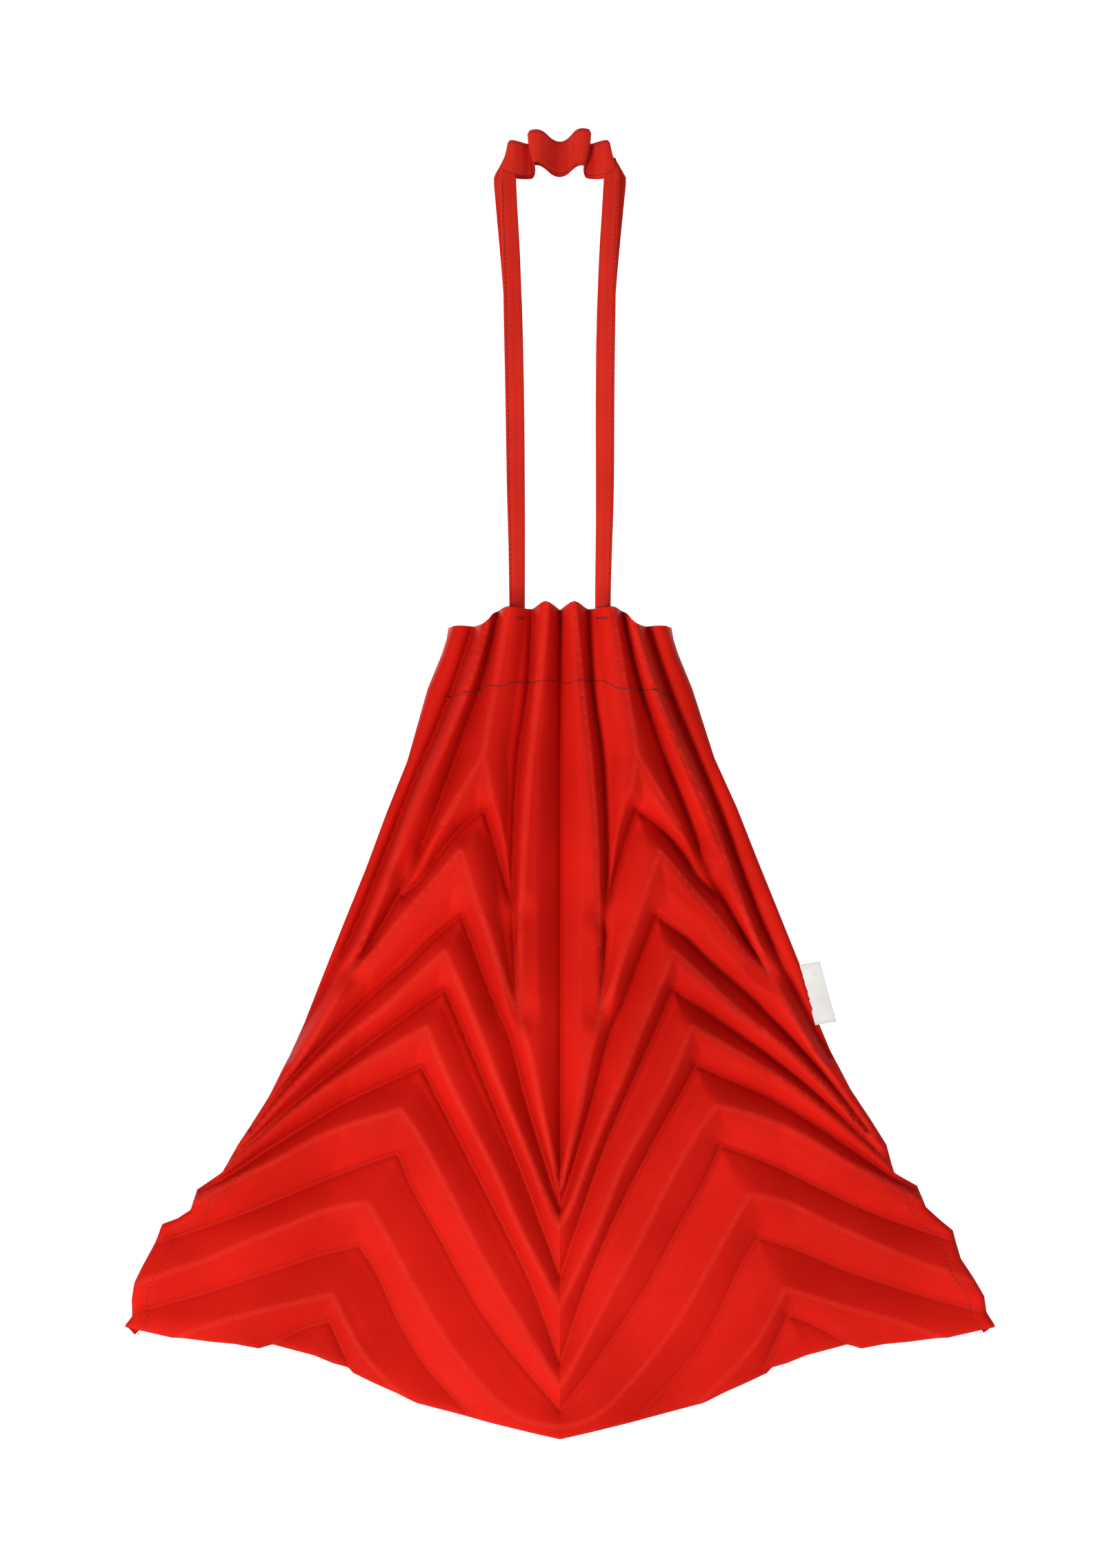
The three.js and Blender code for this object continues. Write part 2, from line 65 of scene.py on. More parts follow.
MOUTH_Z = -270.0
TIP_DOWN = 505.0            # the bottom's lowest point, below the mouth
HEM_DEPTH = 46.0
HEM_INSIDE = 1.9            # the turned-in hem lies this far inside the wall
HEM_ROW_DOWN = 44.0         # the hem's stitches, below the mouth at the middle
HEM_OUT = 65.5              # the hem ends this far out from the middle
EDGE_GAP = 4.8              # front wall to back wall at the sides
BELLY_GAP = 32.0            # and how much more at the middle of the mouth
FOLD_ROUND = 5.0
WING_LINE = ((67.0, 4.0), (139.0, 462.0))
WING_FOOT = 459.0
SEAM_ROWS = (2.2, 3.2, 4.2, 5.2, 6.2, 7.2, 8.4)     # how far in from the side edge the seam allowance runs
SEAM_STITCH_IN = 9.5
SEAM_STITCH_FROM = 300      # the seam's stitches show only below this depth
TACK_OUT = (21.8, 28.6)
TACK_DOWN = 5.6
HANDLE_SPACING = 10.0
SEWN_FROM = -258.0          # below this a strap end turns in to lie along the hem
SEWN_INSIDE = 3.5           # from the cloth to the middle of a sewn strap end
STRAP_HALF = 1.05           # half a folded strap's thickness
BAND_HALF = 0.75            # half the crimped band's thickness
REAR_SPREAD = 4.2           # the rear handle stands this much wider at its top
STRAP_ROW = 0.72            # the strap's stitches, as a share of the way from its middle to its edge
STRAP_ROW_BELOW = -7        # they end at the crimped band
STRAP_THREAD = 1.12         # from the middle of the strap's thickness to the thread on its face
BAND_ROWS = (0.1, 0.9)      # the band's stitches, as shares of its height
BAND_THREAD = 0.85
CRIMP_DEEPEST = 4.2         # the painted shade in the crimped band's hollows is darkest where they lie this deep
LABEL_WIDTH = 13.0
LABEL_LENGTH = 38.0

# Length, gap and thread radius of each kind of stitch.
HEM_STITCH = (2.2, 0.5, 0.4)
TACK_STITCH = (2.2, 0.15, 0.22)
SEAM_STITCH = (1.7, 1.5, 0.24)
STRAP_STITCH = (1.7, 1.2, 0.22)
BAND_STITCH = (1.5, 1.1, 0.2)

# How the pleats change with depth below the mouth.
RELIEF_AT = (0.0, 150.0, 300.0, 400.0, 505.0)
RELIEF = (7.6, 7.2, 5.8, 3.6, 2.2)                  # pleat height there, above and below the middle
STEEP_AT = (0.0, 120.0, 300.0, 420.0)
STEEP = (1.5, 1.05, 0.78, 0.6)                      # rise of a narrow pleat's flank, per millimetre
BOW_AT = (60.0, 200.0, 330.0)
BOW = (0.48, 0.38, 0.2)                             # bulge of a pleat's flank, as a share of its height
RIDGE_ROUND = 1.3
VALLEY_ROUND = 0.5
PLEAT_END_REACH = 17        # relief dies away this near a pleat's end
NO_CREASE = 20.0            # the distance marked on cloth that has no crease near

# What each sheet of cloth measures when flat, in metres.
FRONT_FLAT = (0.27, 0.525)
WING_FLAT = (0.13, 0.485)
MIDDLE_FLAT = (0.145, 0.53)

# ------------------------------------------------------------------ creases: (out, down) from mid-mouth

RIDGES = [
    [(8, -3), (13, 48), (17.6, 90), (21, 132), (23, 174), (24.8, 216), (25, 243), (17.6, 271),
     (12.2, 300), (6.3, 325), (0, 349)],
    [(31.5, 0), (37.8, 40), (42.8, 69), (46.2, 89)],
    [(46.2, 89), (42, 111)],
    [(46.2, 89), (59.6, 111), (72, 132)],
    [(60, 147), (51.2, 174), (39.5, 208), (31, 233), (25, 243)],
    [(60, 147), (80.6, 170), (99.5, 192), (114, 210), (128, 221)],
    [(69.7, 207.5), (51.2, 250), (38.6, 283.5), (28, 309), (17.6, 334), (9.2, 355), (0, 374)],
    [(69.7, 207.5), (89, 225), (106, 241), (131, 261), (152, 280), (173, 302), (196, 327.5)],
    [(80.6, 253), (68, 283.5), (51.2, 317), (36.5, 346.5), (26, 372), (9.2, 405), (0, 424)],
    [(80.6, 253), (106, 267.5), (131, 283), (156, 300), (181, 319), (208, 343.5)],
    [(96.2, 303), (84, 321), (63.8, 359), (47, 393), (30.2, 422), (15.5, 447), (0, 473)],
    [(96.2, 303), (122.6, 311), (147.8, 321), (173, 335), (198, 347), (224, 361)],
    [(116.8, 360), (106, 378), (89, 409.5), (72, 439), (55.4, 462), (38.6, 481), (21.8, 492.7), (0, 497)],
    [(116.8, 360), (139.4, 364), (164.6, 374), (190, 384), (215, 395), (240, 403.6), (262, 411)],
    [(138.2, 416), (122.6, 447), (106, 468), (87, 487)],
    [(138.2, 416), (156, 420), (181, 426), (206.6, 432.6), (234, 443)],
    [(41.6, 1), (51.2, 34), (63.8, 67), (77.3, 97), (89, 122), (101.6, 155), (114, 187), (128, 221),
     (139.4, 242), (156, 269), (173, 294), (192, 319)],
]
# Ridges that sink into the cloth along their length.
SINKING = [
    [(42, 111), (36.5, 130), (31, 149)],
    [(72, 132), (80.6, 145), (90, 158)],
]
# Where pleats run out: the relief dies away round these places.
PLEAT_ENDS = [(25, 243), (128, 221), (90, 158), (28, 183)]
VALLEYS = [
    [(0, -2), (0, 349)],
    [(16.8, -2), (19.3, 48), (25.2, 90), (27.7, 132), (28.6, 170), (27, 216), (25, 243)],
    [(46.2, 122), (42, 134), (35.3, 157.5), (28, 183)],
    [(46.2, 122), (59.6, 132), (72, 147), (84.8, 164), (96, 174)],
    [(59.6, 186), (42, 233), (31, 258), (19.7, 300), (0, 364)],
    [(59.6, 186), (76.4, 199.5), (93, 216), (114, 234), (131, 251), (152, 273), (171, 294), (188, 316)],
    [(69.7, 230.6), (47, 283.5), (23, 342), (0, 405)],
    [(69.7, 230.6), (89, 244), (114, 262.5), (139.4, 282), (164.6, 303), (190, 325.5), (203, 338)],
    [(84, 277.6), (51, 342), (19.7, 405), (0, 458)],
    [(84, 277.6), (106, 288), (131, 300), (156, 315), (181, 330.5), (198, 342), (219, 354)],
    [(98.7, 330.5), (89, 353), (72, 384), (51, 422), (30, 451.5), (0, 487)],
    [(98.7, 330.5), (122.6, 339), (147.8, 349), (173, 359.5), (198, 369.6), (236, 382.6), (250, 387)],
    [(122.2, 387), (111, 405), (97.4, 434.7), (80.6, 462), (50, 496)],
    [(122.2, 387), (147.8, 393.5), (173, 402), (198, 410), (223, 418), (264, 429)],
    [(140.3, 433), (126.4, 464), (124, 468)],
    [(140.3, 433), (156, 437.6), (180, 449)],
    [(37.4, -1), (47, 42), (57.5, 73.5), (68, 103), (79.8, 134), (90, 158), (103.7, 183), (116.3, 204),
     (128, 221)],
    [(51.2, 6), (61.7, 38), (72, 65), (84.8, 94.5), (95.3, 120), (110, 157.5), (124.7, 193), (137.3, 218),
     (152, 246), (165.5, 272)],
]
MOUTH_EDGE = [(0, 1.0), (3.6, -1.4), (8.6, -3.8), (13, -1.8), (17, 0.4), (24, 0), (31.5, -0.8),
              (36.5, 1.0), (40.5, 3.4), (43.5, 7.0), (47, 9.6), (52, 10.6), (60, 10.2)]
SIDES = {
    -1: [(66.8, 10.5), (72, 27), (80.6, 48), (93, 92), (105.8, 124), (118.4, 158), (131, 189),
         (143.6, 220.5), (156, 252), (164.6, 271), (177, 296), (189, 315), (196, 325.5), (205.4, 342),
         (213, 347.5), (221, 353), (224.7, 365), (233, 370.5), (242.3, 374), (246.5, 385), (255, 401),
         (259, 409.5), (260.8, 420), (260.8, 430.5), (264.8, 435.5)],
    1: [(66.8, 10.5), (72, 27), (80.6, 48), (94, 90), (108, 121), (121, 154), (134, 186), (146.2, 216.3),
        (157, 250), (164.5, 268), (177, 292), (189, 310), (198.7, 325.5), (203.3, 342.3), (210, 346.5),
        (217.6, 350.7), (222.6, 363.3), (231, 371), (239.4, 378), (244, 394.8), (252, 407),
        (258.3, 417.9), (260, 428), (264.8, 435.5)],
}
BOTTOM = [(264.6, 437), (257, 438.6), (236, 443), (229.7, 443.2), (213, 445.5), (198, 447), (183.5, 450),
          (175, 447.6), (150, 454), (129, 461.6), (126, 465), (114, 470.4), (99.5, 476.7), (87.8, 482.6),
          (72, 487), (47, 494), (30, 498), (13.4, 502), (0, 505)]

# The crimped top of a handle, half of it: out, forward, lower edge, upper edge, and how much further out the
# lower edge lies.
CRIMPS = [
    (0.0, -3.8, -4.8, 15.0, 0.0), (4.5, -2.3, -3.9, 16.4, 0.0), (9.5, 1.9, -0.6, 20.5, 0.0),
    (13.0, 3.8, 0.7, 21.6, -0.5), (16.4, 4.1, 1.0, 21.5, -1.5), (18.7, 3.1, 0.9, 20.9, -3.0),
    (19.0, 0.8, -0.4, 19.6, -3.3), (17.7, -2.0, -3.2, 16.5, -2.2), (17.5, -3.5, -5.6, 13.9, -0.8),
    (20.2, -3.4, -6.2, 13.7, 0.0), (24.2, -0.3, -6.2, 14.3, 0.6), (27.6, 1.9, -5.0, 14.7, 1.8),
    (30.1, 2.0, -3.6, 14.8, 3.3), (31.5, 1.3, -2.6, 13.8, 4.2),
]
# A handle's leg: middle line, height, width.
LEG = [(25.6, -304, 9.6), (25.7, -285, 9.4), (26, -270, 9.2), (26.4, -235, 9.8), (27.4, -190, 10.9),
       (28.2, -110, 11.4), (29.0, -60, 10.8), (30.4, -24, 10.0), (31.0, -6, 9.4), (30.2, 4.5, 6.4)]


# ------------------------------------------------------------------ the crease field

def smooth(t):
    t = np.clip(t, 0.0, 1.0)
    return t * t * (3 - 2 * t)


def spline(points, step):
    """Points along a smooth curve through the places, no further apart than step."""
    p = np.asarray(points, float)
    if len(p) == 2:
        n = max(1, math.ceil(np.linalg.norm(p[1] - p[0]) / step))
        return p[0] + (p[1] - p[0]) * np.linspace(0, 1, n + 1)[:, None]
    ends = np.vstack([2 * p[0] - p[1], p, 2 * p[-1] - p[-2]])
    out = [p[:1]]
    for a, b, c, d in zip(ends, ends[1:], ends[2:], ends[3:]):
        n = max(1, math.ceil(np.linalg.norm(c - b) / step))
        t = (np.arange(n) + 1.0)[:, None] / n
        out.append(0.5 * (2 * b + (c - a) * t + (2 * a - 5 * b + 4 * c - d) * t ** 2
                          + (3 * b - 3 * c + d - a) * t ** 3))
    return np.vstack(out)


def segments(lines, lift=0.0):
    """Start, end and added distance at each end, for every step of every line."""
    rows = []
    for line in lines:
        t = np.linspace(0, lift, len(line))[:, None]
        rows.append(np.hstack([line[:-1], line[1:], t[:-1], t[1:]]))
    return np.vstack(rows)


def nearest(p, rows):
    """Distance from each place to each step, with the step's added distance."""
    a, ab = rows[:, 0:2], rows[:, 2:4] - rows[:, 0:2]
    length2 = np.maximum((ab ** 2).sum(1), 1e-9)
    px, py = p[:, 0:1] - a[:, 0], p[:, 1:2] - a[:, 1]
    t = np.clip((px * ab[:, 0] + py * ab[:, 1]) / length2, 0, 1)
    d = np.sqrt((px - t * ab[:, 0]) ** 2 + (py - t * ab[:, 1]) ** 2)
    return d + rows[:, 4] + (rows[:, 5] - rows[:, 4]) * t


def distance(points, rows):
    """Least distance from each place to the steps, worked out tile by tile."""
    tile = np.floor(points / 12.0).astype(int)
    key = tile[:, 0] * 4096 + tile[:, 1]
    order = np.argsort(key, kind="stable")
    cuts = np.flatnonzero(np.diff(key[order])) + 1
    best = np.empty(len(points))
    for group in np.split(order, cuts):
        p = points[group]
        centre = p.mean(0, keepdims=True)
        radius = np.sqrt(((p - centre) ** 2).sum(1).max())
        d = nearest(centre, rows)[0]
        best[group] = nearest(p, rows[d <= d.min() + 2 * radius + 2.0]).min(1)
    return best


def warp(points, sign):
    """The right half differs a little from the left one."""
    q = points.copy()
    if sign > 0:
        q[:, 1] += 6.0 * smooth((q[:, 1] - 250) / 110) * smooth((190 - q[:, 0]) / 90) * smooth(q[:, 0] / 50)
        q[:, 0] += 1.2 * smooth((q[:, 1] - 130) / 60) * smooth(q[:, 0] / 40)
    return q


STEP = 7.0
SINK = 12.0                 # how far below its neighbours a sinking ridge ends
RIDGE_ROWS = np.vstack([
    segments([spline(ridge, STEP) for ridge in RIDGES]),
    segments([spline(ridge, STEP) for ridge in SINKING], SINK),
])
VALLEY_ROWS = segments([spline(valley, STEP) for valley in VALLEYS])


def wing_line_out(down):
    """How far out the wing's fold line lies at a depth."""
    (x0, d0), (x1, d1) = WING_LINE
    return x0 + (x1 - x0) * (down - d0) / (d1 - d0)


def wall_gap(out, down):
    """Distance between the front and the back wall, before their pleats."""
    across = 1 - (out / (1.15 * wing_line_out(down))) ** 2
    closing = 1 - smooth((down - 250) / 240)
    return EDGE_GAP + BELLY_GAP * np.clip(across, 0, 1) * closing


def drift(x, down, seed):
    """Slow unevenness of hand-folded cloth, about -1 to 1."""
    return (np.sin(x * 0.043 + seed) * np.cos(down * 0.031 - 1.7 * seed)
            + 0.6 * np.sin(x * 0.087 - down * 0.052 + 2.3 * seed)
            + 0.35 * np.sin(x * 0.19 + down * 0.13 + 0.7 * seed)) / 1.95


class Wall:
    """One wall of the bag: side -1 is the front, 1 the back; sign -1 is its left half."""

    def __init__(self, side, sign):
        self.side, self.sign = side, sign
        self.edge_rows = segments([np.array(SIDES[sign], float), np.array(BOTTOM, float)])

    def fields(self, p):
        """Distances to the nearest ridge, the nearest valley and the side or bottom edge."""
        q = warp(p, self.sign)
        return distance(q, RIDGE_ROWS), distance(q, VALLEY_ROWS), distance(p, self.edge_rows)

    def pleat(self, p, to_ridge, to_valley, to_edge):
        """Height of the pleats above the wall's own curve."""
        out, down = p[:, 0], p[:, 1]
        width = np.maximum(to_ridge + to_valley, 0.1)
        ridge = np.sqrt(to_ridge ** 2 + RIDGE_ROUND ** 2) - RIDGE_ROUND
        valley = np.sqrt(to_valley ** 2 + VALLEY_ROUND ** 2) - VALLEY_ROUND
        level = (valley - ridge) / np.maximum(ridge + valley, 0.35)
        most = np.interp(down, RELIEF_AT, RELIEF) * (0.55 + 0.45 * smooth(to_edge / 14))
        past_wing = smooth((out / wing_line_out(down) - 1.0) / 0.25)
        steep = np.interp(down, STEEP_AT, STEEP) * (1 + 0.45 * past_wing * smooth((380 - down) / 120))
        size = most * np.tanh(steep * width / most)
        q = warp(p, self.sign)
        for end in PLEAT_ENDS:
            size = size * (0.2 + 0.8 * smooth(np.hypot(*(q - end).T) / PLEAT_END_REACH))
        bow = np.interp(down, BOW_AT, BOW) * size * np.sin(np.pi * np.clip(to_ridge / width, 0, 1))
        return size * level + bow

    def unevenness(self, out, down, to_edge):
        """How far hand-folded cloth strays from its even curve."""
        seed = 0.4 + 1.3 * self.side + 0.8 * self.sign
        broad = 0.7 * drift(self.sign * out, down, seed) * smooth(to_edge / 30) * smooth(out / 25)
        creased = 0.35 * drift(2.4 * self.sign * out, 3.1 * down, seed + 5)
        creased = creased * smooth((60 - to_edge) / 50) * smooth(to_edge / 6)
        return broad + creased * smooth((down - 250) / 120)

    def place(self, p, fields=None):
        """World positions, in millimetres, of places on the wall, and the height of the pleats there."""
        p = np.asarray(p, float)
        to_ridge, to_valley, to_edge = self.fields(p) if fields is None else fields
        out, down = p[:, 0], p[:, 1]
        height = self.pleat(p, to_ridge, to_valley, to_edge)
        fold = np.sqrt(np.clip(1 - (1 - np.clip(to_edge / FOLD_ROUND, 0, 1)) ** 2, 0, 1))
        gap = wall_gap(out, down) * fold
        y = self.side * (gap / 2 + 0.5 * self.unevenness(out, down, to_edge)) - height
        return np.column_stack([self.sign * out, y, MOUTH_Z - down]), height


# ------------------------------------------------------------------ meshes

def make(name, points, faces, material, fields=None):
    """A mesh object from points in millimetres."""
    mesh = bpy.data.meshes.new(name)
    points = np.asarray(points, float) * 0.001
    faces = faces.tolist() if isinstance(faces, np.ndarray) else faces
    mesh.from_pydata(points.tolist(), [], faces)
    if fields:
        for key, values in fields.items():
            layer = mesh.attributes.new(key, "FLOAT_VECTOR", "POINT")
            layer.data.foreach_set("vector", np.asarray(values, np.float32).ravel())
    mesh.polygons.foreach_set("use_smooth", [True] * len(mesh.polygons))
    mesh.materials.append(material)
    mesh.update()
    obj = bpy.data.objects.new(name, mesh)
    bpy.context.scene.collection.objects.link(obj)
    return obj


def inside(points, polygon):
    """Which of the points lie inside the polygon."""
    x, y = points[:, 0], points[:, 1]
    hit = np.zeros(len(points), bool)
    for (x0, y0), (x1, y1) in zip(polygon, np.roll(polygon, -1, 0)):
        if y0 == y1:
            continue
        crosses = (y0 > y) != (y1 > y)
        hit ^= crosses & (x < (x1 - x0) * (y - y0) / (y1 - y0) + x0)
    return hit


def along(line, step):
    """A line cut to even steps."""
    line = np.asarray(line, float)
    s = np.concatenate([[0], np.cumsum(np.linalg.norm(np.diff(line, axis=0), axis=1))])
    n = max(1, round(s[-1] / step))
    t = np.linspace(0, s[-1], n + 1)
    return np.column_stack([np.interp(t, s, line[:, 0]), np.interp(t, s, line[:, 1])])


def panel_outline(sign, part):
    """The outline of a half wall: all of it, its wing, or its centre."""
    top = spline(MOUTH_EDGE + SIDES[sign][:1], 4.0)
    side = np.array(SIDES[sign], float)
    bottom = np.array([SIDES[sign][-1]] + BOTTOM, float)
    centre = np.array([(0, TIP_DOWN), (0, 0.8)])
    border = [(wing_line_out(down), down) for down in (10.5, 240.0, WING_FOOT)]
    foot = border[-1]
    if part == "all":
        return [top, side, bottom, centre]
    if part == "wing":
        low = np.vstack([bottom[bottom[:, 0] > foot[0] + 1], [foot]])
        return [side, low, np.array(border[::-1] + [tuple(side[0])])]
    low = np.vstack([[foot], bottom[bottom[:, 0] < foot[0] - 1]])
    return [top, np.array([tuple(top[-1])] + border), low, centre]


def cloth(name, wall, part, spacing):
    """A triangulated half wall whose edges follow every crease."""
    loops = [along(run, spacing) for run in panel_outline(wall.sign, part)]
    border = np.vstack([run[:-1] for run in loops])
    keep = np.linalg.norm(border - np.roll(border, 1, 0), axis=1) > spacing * 0.3
    border = border[keep]
    low, high = border.min(0), border.max(0)
    rows = np.arange(low[1], high[1], spacing * 0.87)
    columns = np.arange(low[0], high[0], spacing)
    grid = np.array([(x + i % 2 * spacing / 2, y) for i, y in enumerate(rows) for x in columns])
    grid = grid[inside(grid, border)]
    edge_rows = np.hstack([border, np.roll(border, -1, 0), np.zeros((len(border), 2))])
    grid = grid[distance(grid, edge_rows) > spacing * 0.55]

    lines, links = [], []
    count = len(border)
    for places in RIDGES + SINKING + VALLEYS:
        line = along(spline(places, 3.0), spacing)
        if wall.sign > 0:
            line = unwarp(line)
        good = inside(line, border)
        good &= distance(line, edge_rows) > spacing * 0.45
        for i in range(len(line)):
            if good[i]:
                lines.append(line[i])
                if i and good[i - 1]:
                    links.append((count + len(lines) - 2, count + len(lines) - 1))
    lines = np.array(lines)
    if links:
        ends = [(lines[a - count], lines[b - count]) for a, b in links]
        crease_rows = np.array([np.concatenate([a, b, [0, 0]]) for a, b in ends])
        grid = grid[distance(grid, crease_rows) > spacing * 0.5]
    points = np.vstack([border, lines, grid])
    ring = list(range(len(border)))
    result = delaunay_2d_cdt([Vector(p) for p in points], links, [ring], 1, 1e-4, False)
    flat = np.array([tuple(v) for v in result[0]])
    faces = np.array([f for f in result[2] if len(f) == 3])
    faces = faces[inside(flat[faces].mean(1), border)]

    fields = wall.fields(flat)
    world, height = wall.place(flat, fields=fields)
    a, b, c = (flat[faces[:, k]] for k in range(3))
    area = (b[:, 0] - a[:, 0]) * (c[:, 1] - a[:, 1]) - (c[:, 0] - a[:, 0]) * (b[:, 1] - a[:, 1])
    flip = area * wall.sign * wall.side < 0
    faces[flip] = faces[flip][:, ::-1]
    marks = {
        "cloth_place": np.column_stack([wall.sign * flat[:, 0], flat[:, 1], height]),
        "crease": np.column_stack(fields),
    }
    return make(name, world, faces, CLOTH, marks)


def unwarp(line):
    """Where a crease of the left half lies on the right one."""
    q = line.copy()
    for _ in range(3):
        q = line - (warp(q, 1) - q)
    return q


def quads(rows, columns, base=0, flip=False):
    """Faces of a grid of points laid out row by row, from point base on."""
    starts = [base + r * columns + c for r in range(rows - 1) for c in range(columns - 1)]
    faces = [(a, a + 1, a + columns + 1, a + columns) for a in starts]
    return [face[::-1] for face in faces] if flip else faces


def tube(rings, sides, base=0):
    """Faces of a closed tube of points laid out ring by ring, from point base on."""
    last = base + (rings - 1) * sides
    faces = []
    for ring in range(base, last, sides):
        for k in range(sides):
            a, b = ring + k, ring + (k + 1) % sides
            faces.append((a, b, b + sides, a + sides))
    faces.append(tuple(range(base, base + sides))[::-1])
    faces.append(tuple(range(last, last + sides)))
    return faces


def strip(name, wall, columns, depths, offsets):
    """A ribbon of inside cloth that follows the wall: columns across, depths down, offset outwards by row."""
    outs, starts = columns.T
    grid, marks = [], []
    for depth, out_by in zip(depths, offsets):
        p = np.column_stack([outs, starts + depth])
        world, height = wall.place(p)
        world[:, 1] += wall.side * out_by
        grid.append(world)
        marks.append(np.column_stack([wall.sign * outs, starts + depth, height]))
    faces = quads(len(depths), len(outs), flip=wall.sign * wall.side < 0)
    marks = {"cloth_place": np.vstack(marks), "crease": np.full((len(outs) * len(depths), 3), NO_CREASE)}
    return make(name, np.vstack(grid), faces, SHADED_INSIDE, marks)


STITCH_RINGS = ((-0.5, 0.35), (-0.36, 0.95), (0.0, 1.1), (0.36, 0.95), (0.5, 0.35))
STITCH_SIDES = 6


def stitch(start, end, normal, length, radius):
    """Points of one rounded stitch, a little flattened against the cloth."""
    axis = end - start
    axis /= np.linalg.norm(axis)
    normal = normal - axis * normal.dot(axis)
    normal /= np.linalg.norm(normal)
    across = np.cross(axis, normal)
    middle = (start + end) / 2
    points = []
    for t, r in STITCH_RINGS:
        for k in range(STITCH_SIDES):
            a = 2 * math.pi * k / STITCH_SIDES
            round_it = across * math.cos(a) + normal * math.sin(a) * 0.8
            points.append(middle + axis * t * length + round_it * radius * r)
    return points


def stitches(name, runs, length, gap, radius):
    """Stitches of thread along runs, each run a path of world points with its outward normals."""
    points, faces = [], []
    for path, normals in runs:
        path, normals = np.asarray(path, float), np.asarray(normals, float)
        s = np.concatenate([[0], np.cumsum(np.linalg.norm(np.diff(path, axis=0), axis=1))])

        def at(where, values):
            return np.array([np.interp(where, s, values[:, k]) for k in range(3)])

        start = gap
        while start + length < s[-1]:
            ends = at(start, path), at(start + length, path)
            faces += tube(len(STITCH_RINGS), STITCH_SIDES, len(points))
            points += stitch(*ends, at(start, normals), length, radius)
            start += length + gap
    return make(name, points, faces, THREAD)


def surface_run(wall, places, lift):
    """World points and outward normals along places on a wall, the points raised off it by lift."""
    places = np.asarray(places, float)
    step = 0.6
    right, _ = wall.place(places + [step, 0])
    low, _ = wall.place(places + [0, step])
    base, _ = wall.place(places)
    n = np.cross(right - base, low - base)
    n /= np.linalg.norm(n, axis=1)[:, None]
    n[n[:, 1] * wall.side < 0] *= -1
    return base + n * lift, n


# ------------------------------------------------------------------ materials

class Nodes:
    """A material's nodes."""

    def __init__(self, name):
        self.material = bpy.data.materials.new(name)
        self.material.use_nodes = True
        self.tree = self.material.node_tree
        self.shader = self.tree.nodes["Principled BSDF"]

    def put(self, socket, value):
        if isinstance(value, bpy.types.NodeSocket):
            self.tree.links.new(value, socket)
        else:
            socket.default_value = value

    def surface(self, colour, rough, **others):
        """Set the shader's colour, its roughness and other inputs by name."""
        for key, value in {"Base_Color": colour, "Roughness": rough, **others}.items():
            self.put(self.shader.inputs[key.replace("_", " ")], value)

    def math(self, operation, a, b=0.0, c=0.0):
        node = self.tree.nodes.new("ShaderNodeMath")
        node.operation = operation
        for socket, value in zip(node.inputs, (a, b, c)):
            self.put(socket, value)
        return node.outputs[0]

    def noise(self, vector, scale, detail=3.0, rough=0.55):
        node = self.tree.nodes.new("ShaderNodeTexNoise")
        self.put(node.inputs["Vector"], vector)
        self.put(node.inputs["Scale"], scale)
        self.put(node.inputs["Detail"], detail)
        self.put(node.inputs["Roughness"], rough)
        return node.outputs["Fac"]

    def mix(self, factor, a, b, blend="MIX"):
        node = self.tree.nodes.new("ShaderNodeMix")
        node.data_type = "RGBA"
        node.blend_type = blend
        self.put(node.inputs[0], factor)
        self.put(node.inputs[6], a)
        self.put(node.inputs[7], b)
        return node.outputs[2]

    def ramp(self, value, low, high, to_low=0.0, to_high=1.0):
        node = self.tree.nodes.new("ShaderNodeMapRange")
        node.interpolation_type = "SMOOTHSTEP"
        for socket, number in zip(node.inputs[:5], (value, low, high, to_low, to_high)):
            self.put(socket, number)
        return node.outputs[0]

    def split(self, vector):
        node = self.tree.nodes.new("ShaderNodeSeparateXYZ")
        self.put(node.inputs[0], vector)
        return node.outputs

    def attribute(self, name):
        node = self.tree.nodes.new("ShaderNodeAttribute")
        node.attribute_name = name
        return node.outputs["Vector"]

    def object_place(self):
        return self.tree.nodes.new("ShaderNodeTexCoord").outputs["Object"]

    def bump(self, height, strength, distance):
        node = self.tree.nodes.new("ShaderNodeBump")
        node.inputs["Strength"].default_value = strength
        node.inputs["Distance"].default_value = distance
        self.put(node.inputs["Height"], height)
        self.put(self.shader.inputs["Normal"], node.outputs[0])


def rgb(r, g, b):
    return (r, g, b, 1.0)


